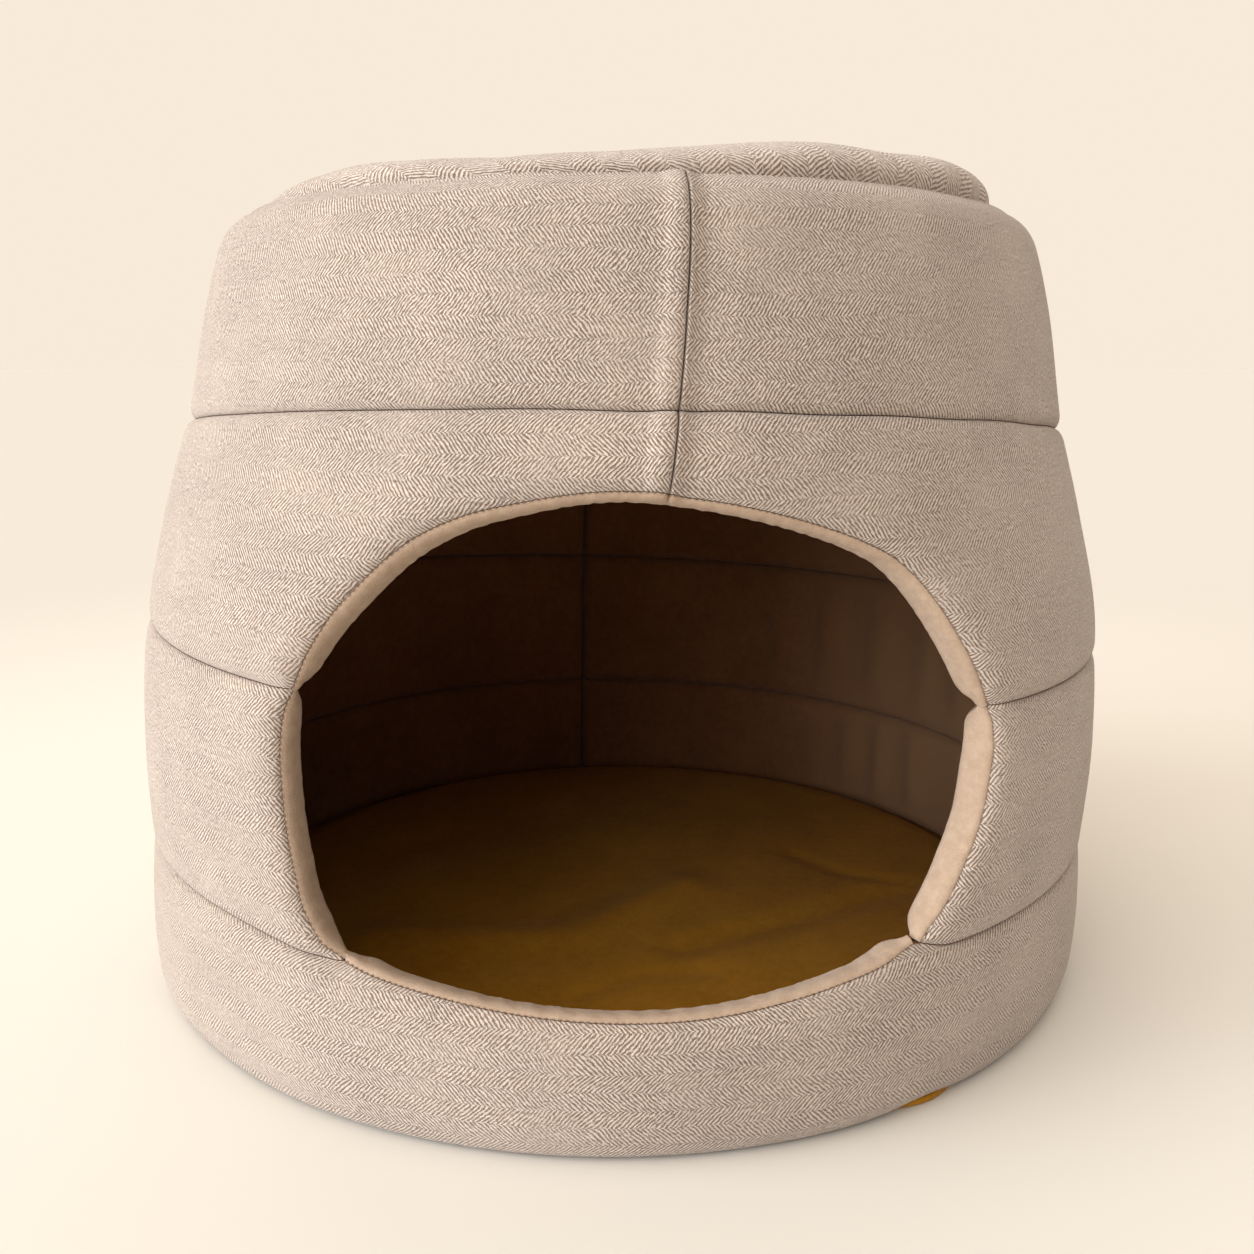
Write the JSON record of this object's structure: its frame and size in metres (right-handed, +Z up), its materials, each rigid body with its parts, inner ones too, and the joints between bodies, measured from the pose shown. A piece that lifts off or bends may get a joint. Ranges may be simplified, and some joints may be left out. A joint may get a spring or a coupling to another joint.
{
  "type": "pet cave bed",
  "caption": "Round padded cave bed for a small pet: a barrel of channelled, lined foam tiers with an arched doorway, a crowned padded roof, a flat base and a floor cushion.",
  "frame": {"origin": "centre of the underside of the base panel", "axes": "+Z up, the doorway looks along -Y, +X to the right as seen from the front"},
  "size_m": [0.4426, 0.4417, 0.3632],
  "materials": {
    "herringbone_cloth": "woven herringbone, matt",
    "plain_facing": "brushed plain cloth, matt",
    "brown_lining": "brushed suede cloth, matt",
    "olive_cloth": "suede cloth, matt"
  },
  "bodies": {
    "root": {"tier_1": "herringbone_cloth", "tier_2": "herringbone_cloth", "tier_3": "herringbone_cloth", "tier_4": "herringbone_cloth", "roof_pad": "herringbone_cloth", "facing_arch": "plain_facing", "facing_left": "plain_facing", "facing_right": "plain_facing", "facing_sill": "plain_facing", "lining_1": "brown_lining", "lining_2": "brown_lining", "lining_3": "brown_lining", "lining_4": "brown_lining", "base_panel": "olive_cloth", "floor_cushion": "olive_cloth"}
  },
  "joints": []
}
